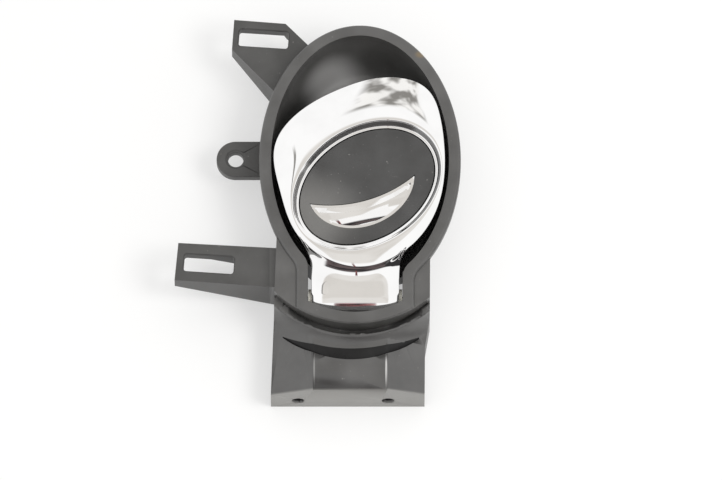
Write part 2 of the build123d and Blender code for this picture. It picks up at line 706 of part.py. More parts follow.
def pin_spacer():
    start = ARM_HALF_W + 0.3 + SIDE_GAP + 0.7
    return tube(4.0, PIN_R + RUN_GAP, start, NECK_X + KNUCKLE_IN - SIDE_GAP)


# Bump stops

def bump_stop(number, top):
    x, y = stop_places()[number]
    stop = post(STOP_R, x, y, top - STOP_H, top - 0.3)
    return chamfer(stop.edges().sort_by(Axis.Z)[-1:], 0.7)


PIECES = {
    "housing": housing(),
    "cable_block": limb(BLOCK_LIMB),
    "upper_bracket": limb(UPPER_LIMB),
    "lower_bracket": limb(LOWER_LIMB),
    "fixing_tab": limb(TAB_LIMB),
    "hinge_pin": hinge_pin(),
    "pin_retaining_ring": pin_retaining_ring(),
    "spring_sleeve": spring_sleeve(),
    "pin_spacer": pin_spacer(),
    "lock_wave_washer": lock_wave_washer(),
    "bump_stop_left": bump_stop(0, CARRIER_NECK_Z),
    "bump_stop_right": bump_stop(1, CARRIER_NECK_Z),
    "lock_bump_stop": bump_stop(2, ARM_TOP_Z - ARM_THICK),
    "return_spring": return_spring(),
    "lever_chrome_shell": lever_chrome_shell(),
    "lever_carrier": lever_carrier(),
    "lever_screws": lever_screws(),
    "lever_bush_left": lever_bush(-1),
    "lever_bush_right": lever_bush(1),
    "lock_plate": lock_plate(),
    "lock_scoop": lock_scoop(),
    "lock_arm": lock_arm(),
    "lock_bush": lock_bush(),
    "lock_screws": lock_screws(),
}

for name, piece in PIECES.items():
    export_step(piece, f"parts/{name}.step")
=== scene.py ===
# %% [markdown]
# # An interior door handle
# The handle is a dark moulded bowl with a bright release lever hinged across its neck, and an oval lock
# knob set into the lever. The CAD frame brings every solid to its real place, in metres. This lesson
# dresses that frame: soft edges on the mouldings, a smooth plated lever, satin and plated finishes, and a
# plain studio.

# %% Open the frame
import math

import bmesh
import bpy
import numpy as np
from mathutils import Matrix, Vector


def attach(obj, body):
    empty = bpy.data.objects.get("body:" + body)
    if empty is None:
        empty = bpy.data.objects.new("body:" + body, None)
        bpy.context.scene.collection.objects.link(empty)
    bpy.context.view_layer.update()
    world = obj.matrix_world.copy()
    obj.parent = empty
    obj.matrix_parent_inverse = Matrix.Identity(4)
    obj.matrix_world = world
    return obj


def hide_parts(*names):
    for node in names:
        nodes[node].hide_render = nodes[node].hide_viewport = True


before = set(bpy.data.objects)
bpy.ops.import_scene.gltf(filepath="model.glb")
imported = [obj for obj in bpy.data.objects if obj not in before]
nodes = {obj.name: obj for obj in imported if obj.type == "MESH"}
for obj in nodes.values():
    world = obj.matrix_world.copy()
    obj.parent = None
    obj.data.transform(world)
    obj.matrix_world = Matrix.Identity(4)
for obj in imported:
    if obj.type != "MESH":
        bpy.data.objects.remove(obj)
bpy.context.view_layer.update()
MM = 0.001
print("nodes:", len(nodes))

# %% [markdown]
# ## The camera
# The photograph looks down on the handle as it lies on its back, tilted a little towards the cable block.
# Both ends of the oval show at one scale, as through a long lens, so the camera stands well back.

# %% Place the camera
VIEW_TILT = math.radians(22.0)
VIEW_DISTANCE = 5.0
PIXEL = 0.42 * MM
IMAGE_WIDTH = 722
SENSOR = 36.0
target = Vector((0.42, -36.8, 28.0)) * MM
eye = target + VIEW_DISTANCE * Vector((0.0, -math.sin(VIEW_TILT), math.cos(VIEW_TILT)))
bpy.ops.object.select_all(action="DESELECT")
bpy.ops.object.camera_add(location=eye, rotation=(VIEW_TILT, 0.0, 0.0))
camera = bpy.context.object
camera.data.sensor_width = SENSOR
camera.data.lens = SENSOR * VIEW_DISTANCE / (IMAGE_WIDTH * PIXEL)
bpy.context.scene.camera = camera
print("lens", round(camera.data.lens), "mm")

# %% [markdown]
# ## Floor and light
# The handle lies on white paper in a bright room. Plating and satin plastic show what stands round them,
# so the room matters as much as the lamp. The paper and the walls look white to the eye and in the plating,
# and shine a little less on the handle, so the paper keeps its shadow and no pale surface burns out. The
# lamp stays out of the reflections, where it would show as a hard white square.

# %% Lay the floor
def plain_shader(name, colour, roughness):
    """A new material with one plain shader, ready for more nodes."""
    material = bpy.data.materials.new(name)
    material.use_nodes = True
    shader = material.node_tree.nodes["Principled BSDF"]
    shader.inputs["Base Color"].default_value = (*colour, 1.0)
    shader.inputs["Roughness"].default_value = roughness
    return material, shader


def seen_directly(tree, low, high):
    """A value that is high where the eye or a reflection sees it, and low where it only sheds light."""
    path = tree.nodes.new("ShaderNodeLightPath")
    seen = path.outputs["Is Camera Ray"]
    for ray in ("Is Glossy Ray", "Is Transmission Ray"):
        either = tree.nodes.new("ShaderNodeMath")
        either.operation = "MAXIMUM"
        tree.links.new(seen, either.inputs[0])
        tree.links.new(path.outputs[ray], either.inputs[1])
        seen = either.outputs["Value"]
    reach = tree.nodes.new("ShaderNodeMapRange")
    reach.inputs["To Min"].default_value = low
    reach.inputs["To Max"].default_value = high
    tree.links.new(seen, reach.inputs["Value"])
    return reach.outputs["Result"]


PAPER_GLOW = 0.5
bpy.ops.object.select_all(action="DESELECT")
bpy.ops.mesh.primitive_plane_add(size=8.0, location=(0.0, 0.0, 0.0))
floor = bpy.context.object
floor.name = "paper_floor"
paper, paper_shader = plain_shader("white_paper", (0.92, 0.915, 0.9), 0.95)
tree = paper.node_tree
glow = tree.nodes.new("ShaderNodeEmission")
both = tree.nodes.new("ShaderNodeMixShader")
tree.links.new(seen_directly(tree, 0.0, PAPER_GLOW), both.inputs["Fac"])
tree.links.new(paper_shader.outputs["BSDF"], both.inputs[1])
tree.links.new(glow.outputs["Emission"], both.inputs[2])
tree.links.new(both.outputs["Shader"], tree.nodes["Material Output"].inputs["Surface"])
floor.data.materials.append(paper)

# %% Light the room
ROOM_LIGHT = 0.85
world = bpy.data.worlds.new("white_room")
bpy.context.scene.world = world
world.use_nodes = True
tree = world.node_tree
room_light = tree.nodes["Background"]
room_light.inputs["Color"].default_value = (1.0, 1.0, 1.0, 1.0)
tree.links.new(seen_directly(tree, ROOM_LIGHT, 1.0), room_light.inputs["Strength"])


def soft_lamp(name, place, size, power):
    """A square area lamp that looks at the handle."""
    place = Vector(place)
    bpy.ops.object.select_all(action="DESELECT")
    bpy.ops.object.light_add(type="AREA", location=place)
    lamp = bpy.context.object
    lamp.name = name
    lamp.rotation_euler = (target - place).to_track_quat("-Z", "Y").to_euler()
    lamp.data.size = size
    lamp.data.energy = power
    return lamp


window_lamp = soft_lamp("window_lamp", (0.78, -0.3, 1.1), 0.6, 8.0)
window_lamp.visible_glossy = False
bpy.context.scene.view_settings.view_transform = "Standard"

# %% [markdown]
# ## What the plating mirrors
# A mirror in an empty white room has no form. In the photograph the plating shows grey and dark shapes of
# the room, and those shapes tell the eye how it bends. Cards that only reflections see stand in for them: a
# cream panel overhead, the wall behind the handle with its pale and grey fields, a thin frame at the left,
# low dark shapes on the near side and on the right, and a narrow one close to the line of sight. Their
# edges fade, as things out of focus do.

# %% Stand the cards
PATCH_STEP = (0.42, 0.58)


def faded_mask(tree, where, fade):
    """1 in the middle of a card, falling to 0 at its edges."""
    split = tree.nodes.new("ShaderNodeSeparateXYZ")
    tree.links.new(where.outputs["Object"], split.inputs["Vector"])
    sides = []
    for axis in ("X", "Y"):
        size = tree.nodes.new("ShaderNodeMath")
        size.operation = "ABSOLUTE"
        tree.links.new(split.outputs[axis], size.inputs[0])
        fall = tree.nodes.new("ShaderNodeMapRange")
        fall.interpolation_type = "SMOOTHSTEP"
        fall.inputs["From Min"].default_value = 0.5 - fade
        fall.inputs["From Max"].default_value = 0.5
        fall.inputs["To Min"].default_value = 1.0
        fall.inputs["To Max"].default_value = 0.0
        tree.links.new(size.outputs["Value"], fall.inputs["Value"])
        sides.append(fall.outputs["Result"])
    product = tree.nodes.new("ShaderNodeMath")
    product.operation = "MULTIPLY"
    tree.links.new(sides[0], product.inputs[0])
    tree.links.new(sides[1], product.inputs[1])
    return product.outputs["Value"]


def reflection_card(name, place, width, height, dark, pale, patches, fade):
    """A card of patchy grey that faces the handle and shows only in reflections."""
    place = Vector(place)
    bpy.ops.object.select_all(action="DESELECT")
    bpy.ops.mesh.primitive_plane_add(size=1.0, location=place)
    card = bpy.context.object
    card.name = name
    card.scale = (width, height, 1.0)
    card.rotation_euler = (target - place).to_track_quat("Z", "Y").to_euler()
    material = bpy.data.materials.new(name)
    material.use_nodes = True
    tree = material.node_tree
    tree.nodes.clear()
    where = tree.nodes.new("ShaderNodeTexCoord")
    fields = tree.nodes.new("ShaderNodeTexNoise")
    fields.inputs["Scale"].default_value = patches
    fields.inputs["Detail"].default_value = 2.0
    tree.links.new(where.outputs["Object"], fields.inputs["Vector"])
    grey = tree.nodes.new("ShaderNodeMix")
    grey.data_type = "RGBA"
    grey.inputs["A"].default_value = (*dark, 1.0)
    grey.inputs["B"].default_value = (*pale, 1.0)
    step = tree.nodes.new("ShaderNodeMapRange")
    step.interpolation_type = "SMOOTHSTEP"
    step.inputs["From Min"].default_value = PATCH_STEP[0]
    step.inputs["From Max"].default_value = PATCH_STEP[1]
    tree.links.new(fields.outputs["Fac"], step.inputs["Value"])
    tree.links.new(step.outputs["Result"], grey.inputs["Factor"])
    shine = tree.nodes.new("ShaderNodeEmission")
    tree.links.new(grey.outputs["Result"], shine.inputs["Color"])
    clear = tree.nodes.new("ShaderNodeBsdfTransparent")
    edge = tree.nodes.new("ShaderNodeMixShader")
    out = tree.nodes.new("ShaderNodeOutputMaterial")
    tree.links.new(faded_mask(tree, where, fade), edge.inputs["Fac"])
    tree.links.new(clear.outputs["BSDF"], edge.inputs[1])
    tree.links.new(shine.outputs["Emission"], edge.inputs[2])
    tree.links.new(edge.outputs["Shader"], out.inputs["Surface"])
    card.data.materials.append(material)
    card.visible_camera = False
    card.visible_diffuse = False
    card.visible_shadow = False


CREAM = (0.7, 0.675, 0.64)
PALE_CREAM = (0.78, 0.76, 0.73)
WALL_GREY = (0.27, 0.26, 0.245)
WALL_WHITE = (0.95, 0.94, 0.92)
DUSK = (0.035, 0.033, 0.035)
WARM_DUSK = (0.12, 0.095, 0.095)
SHIRT = (0.3, 0.1, 0.1)
reflection_card("ceiling_panel", (0.0, -0.08, 1.3), 0.8, 1.7, CREAM, PALE_CREAM, 1.5, 0.1)
reflection_card("far_wall", (0.12, 1.1, 0.62), 0.75, 0.9, WALL_GREY, WALL_WHITE, 3.0, 0.15)
reflection_card("left_frame", (-0.42, 0.52, 1.0), 0.05, 0.9, WALL_GREY, WALL_GREY, 1.0, 0.3)
reflection_card("low_near_shape", (0.0, -0.95, 0.34), 1.9, 0.68, DUSK, WARM_DUSK, 4.0, 0.2)
reflection_card("right_near_shape", (0.85, -0.62, 0.3), 0.9, 0.6, DUSK, DUSK, 2.0, 0.12)
reflection_card("high_near_shape", (-0.003, -0.64, 0.54), 0.034, 0.6, DUSK, SHIRT, 3.5, 0.3)
reflection_card("right_low_shape", (1.1, 0.25, 0.2), 1.1, 0.5, DUSK, DUSK, 2.0, 0.15)
print("cards", 7)

# %% [markdown]
# ## Finishes
# Moulded plastic has a fine grain that scatters light, and handling polishes it unevenly. The tone is dark,
# and most of the grey that the eye sees is sheen, so the shader gets a strong specular level. Layers of
# colour lie over the tone, each round one place: a painted glow on the bowl's upper left wall, painted light
# on the block's end face, painted highlights along the block's two creases, and a painted reflection that
# lightens the knob plate towards its left and lower side. A brown scuff on the rim is a real mark. They
# could be drawn into an image, but a layer follows the form at any size. Plating is a mirror with a faint
# haze. Every pattern sits on the object's own coordinates.

# %% Mix the finishes
BROAD_SCALE = 70.0
SPECK_SCALE = 900.0
CLOUD_SCALE = 90.0
GRAIN_HEIGHT = 0.2 * MM
SPECK_SHADE = (0.5, 0.48, 0.45)


def noise(tree, where, scale, detail):
    """A noise texture on the object's own coordinates."""
    texture = tree.nodes.new("ShaderNodeTexNoise")
    texture.inputs["Scale"].default_value = scale
    texture.inputs["Detail"].default_value = detail
    tree.links.new(where.outputs["Object"], texture.inputs["Vector"])
    return texture


def spread(tree, source, low, high, start=0.0, end=1.0):
    """Stretch a texture's values between two numbers."""
    reach = tree.nodes.new("ShaderNodeMapRange")
    reach.inputs["From Min"].default_value = start
    reach.inputs["From Max"].default_value = end
    reach.inputs["To Min"].default_value = low
    reach.inputs["To Max"].default_value = high
    tree.links.new(source.outputs["Fac"], reach.inputs["Value"])
    return reach


def tint(tree, colour, factor, other):
    """Mix a colour over the base, by a factor from the texture."""
    mix = tree.nodes.new("ShaderNodeMix")
    mix.data_type = "RGBA"
    tree.links.new(factor.outputs["Result"], mix.inputs["Factor"])
    mix.inputs["B"].default_value = (*other, 1.0)
    if isinstance(colour, tuple):
        mix.inputs["A"].default_value = (*colour, 1.0)
    else:
        tree.links.new(colour.outputs["Result"], mix.inputs["A"])
    return mix


def light_and_scuff_factor(tree, where, place, reach, strength):
    """How strongly a layer of colour lies, for painted light and for the scuff: full round one place (in mm),
    thinning to nothing at its reach.
    """
    centred = tree.nodes.new("ShaderNodeMapping")
    centred.inputs["Scale"].default_value = [1 / (r * MM) for r in reach]
    centred.inputs["Location"].default_value = [-p / r for p, r in zip(place, reach)]
    tree.links.new(where.outputs["Object"], centred.inputs["Vector"])
    distance = tree.nodes.new("ShaderNodeVectorMath")
    distance.operation = "LENGTH"
    tree.links.new(centred.outputs["Vector"], distance.inputs[0])
    thin = tree.nodes.new("ShaderNodeMapRange")
    thin.interpolation_type = "SMOOTHSTEP"
    thin.inputs["From Min"].default_value = 0.25
    thin.inputs["To Min"].default_value = strength
    thin.inputs["To Max"].default_value = 0.0
    tree.links.new(distance.outputs["Value"], thin.inputs["Value"])
    return thin


def moulded_plastic(name, colour, roughness, grain, depth, dust=0.0, sheen_level=0.5, light_and_scuff_layers=()):
    """Moulded plastic with a fine grain, an uneven sheen, a little dust, and layers of painted light and of
    scuff.
    """
    material, shader = plain_shader(name, colour, roughness)
    shader.inputs["Specular IOR Level"].default_value = sheen_level
    tree = material.node_tree
    where = tree.nodes.new("ShaderNodeTexCoord")
    fine = noise(tree, where, grain, 4.0)
    broad = noise(tree, where, BROAD_SCALE, 3.0)
    paler = tuple(min(1.0, 1.5 * c + 0.01) for c in colour)
    tone = tint(tree, colour, spread(tree, broad, 0.0, 1.0, 0.3, 0.75), paler)
    if dust:
        specks = noise(tree, where, SPECK_SCALE, 2.0)
        tone = tint(tree, tone, spread(tree, specks, 0.0, dust, 0.72, 0.8), SPECK_SHADE)
    # Layers over the tone, round one place each: painted light where a caller gives it, and the rim's real
    # scuff.
    for place, reach, strength, shade in light_and_scuff_layers:
        tone = tint(tree, tone, light_and_scuff_factor(tree, where, place, reach, strength), shade)
    tree.links.new(tone.outputs["Result"], shader.inputs["Base Color"])
    sheen = spread(tree, broad, roughness - 0.06, roughness + 0.08, 0.3, 0.7)
    tree.links.new(sheen.outputs["Result"], shader.inputs["Roughness"])
    bump = tree.nodes.new("ShaderNodeBump")
    bump.inputs["Strength"].default_value = depth
    bump.inputs["Distance"].default_value = GRAIN_HEIGHT
    tree.links.new(fine.outputs["Fac"], bump.inputs["Height"])
    tree.links.new(bump.outputs["Normal"], shader.inputs["Normal"])
    return material


def bright_metal(name, colour, roughness, haze):
    """Polished or drawn metal whose shine varies slightly."""
    material, shader = plain_shader(name, colour, roughness)
    shader.inputs["Metallic"].default_value = 1.0
    tree = material.node_tree
    where = tree.nodes.new("ShaderNodeTexCoord")
    cloud = noise(tree, where, CLOUD_SCALE, 5.0)
    sheen = spread(tree, cloud, roughness, roughness + haze, 0.35, 0.75)
    tree.links.new(sheen.outputs["Result"], shader.inputs["Roughness"])
    duller = tuple(0.94 * c for c in colour)
    tone = tint(tree, colour, spread(tree, cloud, 0.0, 1.0, 0.4, 0.8), duller)
    tree.links.new(tone.outputs["Result"], shader.inputs["Base Color"])
    return material


# Pale greys for painted light and painted highlights, and a rust brown for a real scuff.
PAINTED_LIGHT_GREY = (0.36, 0.35, 0.33)
PAINTED_HIGHLIGHT_GREY = (0.62, 0.61, 0.6)
RUST = (0.2, 0.14, 0.06)
GRAIN = 2600.0
# A painted glow on the bowl's upper left wall, and a brown scuff on the rim.
bowl_glow_and_scuff = [
    ((-12, 44, 6), (18, 17, 16), 0.5, PAINTED_HIGHLIGHT_GREY),
    ((25.6, 47.8, 28), (3.2, 2.2, 3), 0.7, RUST),
]
# Painted light on the block: a paler end face, and painted highlights along the roof panel's two creases.
block_painted_light = [
    ((-7, -101.4, 6), (90, 1.5, 40), 0.6, PAINTED_LIGHT_GREY),
    ((11.0, -92.5, 20), (0.6, 11, 2), 0.9, PAINTED_HIGHLIGHT_GREY),
    ((-19.2, -92.5, 20), (0.5, 10, 2), 0.3, PAINTED_HIGHLIGHT_GREY),
]
# A painted reflection: the knob plate is paler towards its left and lower side.
knob_painted_reflection = [((-21, -27, 32), (27, 24, 12), 0.32, PAINTED_LIGHT_GREY)]
satin_grey = moulded_plastic(
    "satin_grey_plastic", (0.056, 0.0545, 0.052), 0.38, GRAIN, 0.22, 0.25, 1.0, bowl_glow_and_scuff
)
block_grey = moulded_plastic(
    "block_plastic", (0.055, 0.0535, 0.0515), 0.36, GRAIN, 0.2, 0.25, 1.0, block_painted_light
)
# The brackets and tab belong to the bowl's moulding; their darker tone is painted shade.
limb_shaded_grey = moulded_plastic("limb_painted_shade_plastic", (0.04, 0.039, 0.037), 0.42, GRAIN, 0.25, 0.3, 0.8)
knob_black = moulded_plastic(
    "knob_plastic", (0.03, 0.0295, 0.029), 0.34, 3200.0, 0.14, 0.6, 0.8, knob_painted_reflection
)
# Near-black plastic for the faces of the hollow under the saddle: painted shade.
hollow_painted_shade = moulded_plastic("hollow_painted_shade_plastic", (0.01, 0.0097, 0.0097), 0.3, GRAIN, 0.15, 0.0, 0.2)
carrier_black = moulded_plastic("carrier_plastic", (0.02, 0.02, 0.021), 0.5, 2400.0, 0.25)
nylon = moulded_plastic("natural_nylon", (0.62, 0.6, 0.53), 0.45, 1500.0, 0.1)
rubber = moulded_plastic("stop_rubber", (0.02, 0.02, 0.02), 0.8, 1800.0, 0.4)
chrome = bright_metal("bright_plating", (0.97, 0.965, 0.96), 0.02, 0.03)
zinc = bright_metal("zinc_steel", (0.6, 0.6, 0.6), 0.28, 0.15)
spring_wire = bright_metal("spring_wire", (0.45, 0.45, 0.47), 0.25, 0.1)
print("finishes", 11)

# %% Give every solid its finish
JOIN = 0.002 * MM
CRISP_ANGLE = math.radians(30)
FINISH = {
    satin_grey: ["housing"],
    block_grey: ["cable_block"],
    limb_shaded_grey: ["upper_bracket", "lower_bracket", "fixing_tab"],
    chrome: ["lever_chrome_shell", "lock_scoop"],
    knob_black: ["lock_plate"],
    carrier_black: ["lever_carrier", "lock_arm"],
    nylon: ["spring_sleeve", "pin_spacer", "lever_bush_left", "lever_bush_right", "lock_bush"],
    rubber: ["bump_stop_left", "bump_stop_right", "lock_bump_stop"],
    zinc: ["hinge_pin", "lever_screws", "lock_screws"],
    spring_wire: ["pin_retaining_ring", "lock_wave_washer", "return_spring"],
}
for material, names in FINISH.items():
    for name in names:
        nodes[name].data.materials.clear()
        nodes[name].data.materials.append(material)
for solid in nodes.values():
    weld = solid.modifiers.new("join_faces", "WELD")
    weld.merge_threshold = JOIN
    crisp = solid.modifiers.new("keep_edges", "EDGE_SPLIT")
    crisp.split_angle = CRISP_ANGLE
    bpy.ops.object.select_all(action="DESELECT")
    solid.select_set(True)
    bpy.context.view_layer.objects.active = solid
    bpy.ops.object.shade_smooth()
print("finished", len(nodes), "solids")

# %% [markdown]
# ## The plated lever
# The lever is one bright moulding: a hole with a ledge for the lock knob, a lip that climbs to an oval ridge,
# a crowned collar that falls to a thin edge, and a neck that rolls over the hinge. It could be lofted or
# sculpted, but a subdivision mesh suits it, because plating shows every facet. It starts as one circle of
# points round the hole, and each new ring is extruded from the last and laid where the section says.

# %% Measure the lever's plan
OVAL = (3.0, -14.1)
OVAL_TURN = math.radians(37.5)
KNOB_HALF = (31.0, 22.7)
KNOB_TOP = 31.8
HOLE_GAP = 1.0
LIP_IN = 0.55
LEDGE = 0.7
RIDGE_HALF = (34.5, 26.2)
RIDGE_TOP = 34.0
RIDGE_SLOPE = 0.034
EDGE_TOP = 29.0
EDGE_LOW = 24.0
NECK_TOP = 27.0
NECK_SIDES = (-20.5, 16.5)
HINGE = (-61.0, 19.2)
BARREL = 7.8
LEVER_WALL = 1.5
OUTLINE = np.array([
    (28.6, 31.6), (12.6, 37.0), (-8.4, 31.7), (-25.2, 21.7), (-35.4, 8.0), (-33.6, -16.0),
    (-26.4, -36.0), (-2.0, -50.0), (24.5, -37.5), (34.2, -18.0), (35.6, 1.0), (33.7, 18.5),
])
FAR_Y = OUTLINE[1][1]
NEAR_Y = OUTLINE[7][1]


def closed_curve(points, steps):
    """Smooth closed curve through a few points, by chord length."""
    count = len(points)
    chord = np.linalg.norm(np.roll(points, -1, axis=0) - points, axis=1)
    before = np.roll(chord, 1)
    system = np.zeros((count, count))
    pull = np.zeros((count, 2))
    for i in range(count):
        system[i, i - 1] = before[i]
        system[i, i] = 2 * (before[i] + chord[i])
        system[i, (i + 1) % count] = chord[i]
        ahead = (points[(i + 1) % count] - points[i]) / chord[i]
        behind = (points[i] - points[i - 1]) / before[i]
        pull[i] = 6 * (ahead - behind)
    bend = np.linalg.solve(system, pull)
    curve = []
    for i in range(count):
        j = (i + 1) % count
        for t in np.linspace(0, chord[i], steps, endpoint=False):
            a = (chord[i] - t) / chord[i]
            b = t / chord[i]
            lift = (a**3 - a) * bend[i] + (b**3 - b) * bend[j]
            curve.append(a * points[i] + b * points[j] + lift * chord[i] ** 2 / 6)
    return np.array(curve)


edge_curve = closed_curve(OUTLINE, 60) - np.array(OVAL)
edge_angle = np.arctan2(edge_curve[:, 1], edge_curve[:, 0])
edge_order = np.argsort(edge_angle)
edge_reach = np.hypot(edge_curve[:, 0], edge_curve[:, 1])
print("collar edge", round(edge_reach.min(), 1), "to", round(edge_reach.max(), 1), "mm from the middle")


# %% Set out the rays
CORNER_EASE = 6.0
COLLAR_RAYS = 66


def oval_reach(angle, half):
    """Distance from the knob's centre to an oval, along one ray."""
    turn = angle - OVAL_TURN
    return half[0] * half[1] / np.hypot(half[1] * np.cos(turn), half[0] * np.sin(turn))


def collar_reach(angle):
    """Distance from the knob's centre to the collar's edge."""
    return np.interp(angle, edge_angle[edge_order], edge_reach[edge_order], period=2 * math.pi)


def neck_reach(angle):
    """Distance to the neck's sides or to the hinge line, or nothing above the hinge."""
    down = -math.sin(angle)
    if down <= 0.2:
        return 0.0
    to_hinge = (OVAL[1] - HINGE[0]) / down
    across = math.cos(angle)
    side = NECK_SIDES[1] if across > 0 else NECK_SIDES[0]
    to_side = (side - OVAL[0]) / across if abs(across) > 0.001 else 1000.0
    return min(to_hinge, to_side)


def outer_reach(angle):
    """Distance to the lever's whole edge, with the two inner corners eased."""
    a = float(collar_reach(angle))
    b = neck_reach(angle)
    ease = max(CORNER_EASE - abs(a - b), 0.0) / CORNER_EASE
    return max(a, b) + ease * ease * CORNER_EASE / 4


hinge_rays = [math.atan2(HINGE[0] - OVAL[1], x - OVAL[0]) for x in np.linspace(*NECK_SIDES, 19)]
left_rays = [math.atan2(y - OVAL[1], NECK_SIDES[0] - OVAL[0]) for y in np.linspace(-41.0, -59.0, 8)]
right_rays = [math.atan2(y - OVAL[1], NECK_SIDES[1] - OVAL[0]) for y in np.linspace(-59.0, -43.0, 7)]
open_turn = 2 * math.pi - (right_rays[-1] - left_rays[0])
collar_rays = [right_rays[-1] + open_turn * step / COLLAR_RAYS for step in range(1, COLLAR_RAYS)]
rays = hinge_rays + right_rays + collar_rays + left_rays
print("rays", len(rays), "of which", len(hinge_rays), "cross the hinge line")


# %% Work out the lever's height
CROWN_BEND = 1.8
COLLAR_SLOPE = 0.34
FILLET = 9.0
FILLET_BEND = 3.2
NECK_ROUND = 8.0
NECK_DROP = 1.3


def side_drop(x):
    """How far the neck's top rounds off towards its two sides."""
    middle = sum(NECK_SIDES) / 2
    half = (NECK_SIDES[1] - NECK_SIDES[0]) / 2
    return NECK_DROP * max(0.0, (abs(x - middle) - half + NECK_ROUND) / NECK_ROUND) ** 2


def top_height(angle, reach):
    """Height of the lever's top along a ray: the crown, then a hollow fillet down to the neck."""
    near = float(oval_reach(angle, RIDGE_HALF))
    far = float(collar_reach(angle))
    fall = (OVAL[1] + far * math.sin(angle) - NEAR_Y) / (FAR_Y - NEAR_Y)
    high = RIDGE_TOP + RIDGE_SLOPE * near * math.sin(angle)
    low = max(NECK_TOP + (EDGE_TOP - NECK_TOP) * fall, high - COLLAR_SLOPE * (far - near))
    if reach <= far:
        rise = (far - reach) / (far - near)
        return low + (high - low) * (1 - (1 - rise) ** CROWN_BEND)
    left = max(0.0, 1 - (reach - far) / FILLET)
    return NECK_TOP + (low - NECK_TOP) * left**FILLET_BEND - side_drop(OVAL[0] + reach * math.cos(angle))


def on_ray(angle, reach, z):
    """Point on a ray, in metres."""
    return ((OVAL[0] + reach * math.cos(angle)) * MM, (OVAL[1] + reach * math.sin(angle)) * MM, z * MM)


def hole_ring(out, z):
    """Ring parallel to the hole."""
    return [on_ray(a, float(oval_reach(a, KNOB_HALF)) + HOLE_GAP + out, z) for a in rays]


def lip_ring(inward, drop):
    """Ring just inside the ridge."""
    ring = []
    for a in rays:
        reach = float(oval_reach(a, RIDGE_HALF)) - inward
        ring.append(on_ray(a, reach, top_height(a, reach + inward) - drop))
    return ring


def collar_ring(share):
    """Ring from the ridge (0) over the collar's lower edge (1) to the lever's edge (2)."""
    ring = []
    for a in rays:
        near = float(oval_reach(a, RIDGE_HALF))
        outer = outer_reach(a)
        turn = near + min(float(collar_reach(a)) - near, 0.8 * (outer - near))
        reach = near + (turn - near) * share if share < 1 else turn + (outer - turn) * (share - 1)
        ring.append(on_ray(a, reach, top_height(a, reach)))
    return ring


# %% Draw the lever ring by ring
def select_columns(obj, places, columns):
    """Select the open edges of these columns that lie along a ring."""
    mesh = bmesh.from_edit_mesh(obj.data)
    layer = mesh.verts.layers.int["column"]
    chosen = set(columns)
    bpy.ops.mesh.select_all(action="DESELECT")
    found = 0
    for edge in mesh.edges:
        if not edge.is_boundary or any(v[layer] not in chosen for v in edge.verts):
            continue
        if all((v.co - Vector(places[v[layer]])).length < 0.001 * MM for v in edge.verts):
            edge.select_set(True)
            found += 1
    bmesh.update_edit_mesh(obj.data)
    return found


def lay_ring(obj, places):
    """Put the selected points of each column in their place."""
    mesh = bmesh.from_edit_mesh(obj.data)
    layer = mesh.verts.layers.int["column"]
    for vertex in mesh.verts:
        if vertex.select:
            vertex.co = places[vertex[layer]]
    bmesh.update_edit_mesh(obj.data)


bpy.ops.object.select_all(action="DESELECT")
bpy.ops.mesh.primitive_circle_add(vertices=len(rays), radius=0.03)
lever = bpy.context.object
lever.name = "plated_lever"
bpy.ops.object.mode_set(mode="EDIT")
mesh = bmesh.from_edit_mesh(lever.data)
layer = mesh.verts.layers.int.new("column")
mesh.verts.ensure_lookup_table()
for vertex in mesh.verts:
    vertex[layer] = vertex.index
    vertex.select_set(True)
mesh.select_flush(True)
lay_ring(lever, hole_ring(0.0, KNOB_TOP - 5.4))
sections = [
    hole_ring(0.0, KNOB_TOP - 1.6),
    hole_ring(-LIP_IN, KNOB_TOP - 1.2),
    hole_ring(-LIP_IN, KNOB_TOP - 0.3),
    hole_ring(0.2 - LIP_IN, KNOB_TOP),
    hole_ring(LEDGE - 0.25, KNOB_TOP),
    hole_ring(LEDGE, KNOB_TOP + 0.25),
    lip_ring(0.75, 0.45),
    lip_ring(0.3, 0.06),
    collar_ring(0.0),
]
sections += [collar_ring(share) for share in (0.1, 0.3, 0.52, 0.74, 0.91, 1.0)]
sections += [collar_ring(share) for share in (1.07, 1.18, 1.33, 1.52, 1.72, 1.9, 1.97, 2.0)]
for places in sections:
    bpy.ops.mesh.extrude_edges_move()
    lay_ring(lever, places)
print("rings", len(sections) + 1)

# %% Roll the neck over the hinge
edge_places = sections[-1]
hinge_columns = range(len(hinge_rays))
skirt_columns = [c for c in range(len(rays)) if c not in hinge_columns]
print("edges on the hinge line", select_columns(lever, edge_places, hinge_columns))
for roll in np.linspace(100, 190, 8):
    turn = math.radians(roll)
    y = HINGE[0] + BARREL * math.cos(turn)
    z = HINGE[1] + BARREL * math.sin(turn)
    bpy.ops.mesh.extrude_edges_move()
    places = {}
    for c in hinge_columns:
        x = edge_places[c][0]
        places[c] = (x, y * MM, (z - side_drop(x / MM)) * MM)
    lay_ring(lever, places)

# %% Turn the collar's edge down
collar_only = [c for c in skirt_columns if outer_reach(rays[c]) - collar_reach(rays[c]) < 1.4]
print("edges round the collar", select_columns(lever, edge_places, collar_only))
for drop in (0.4, 2.2, None):
    places = {}
    for c in collar_only:
        x, y, z = edge_places[c]
        low = EDGE_LOW * MM if drop is None else z - drop * MM
        places[c] = (x, y, low)
    bpy.ops.mesh.extrude_edges_move()
    lay_ring(lever, places)
bpy.ops.mesh.select_all(action="SELECT")
bpy.ops.mesh.normals_make_consistent(inside=False)
bpy.ops.object.mode_set(mode="OBJECT")
print("lever cage", len(lever.data.polygons), "faces")


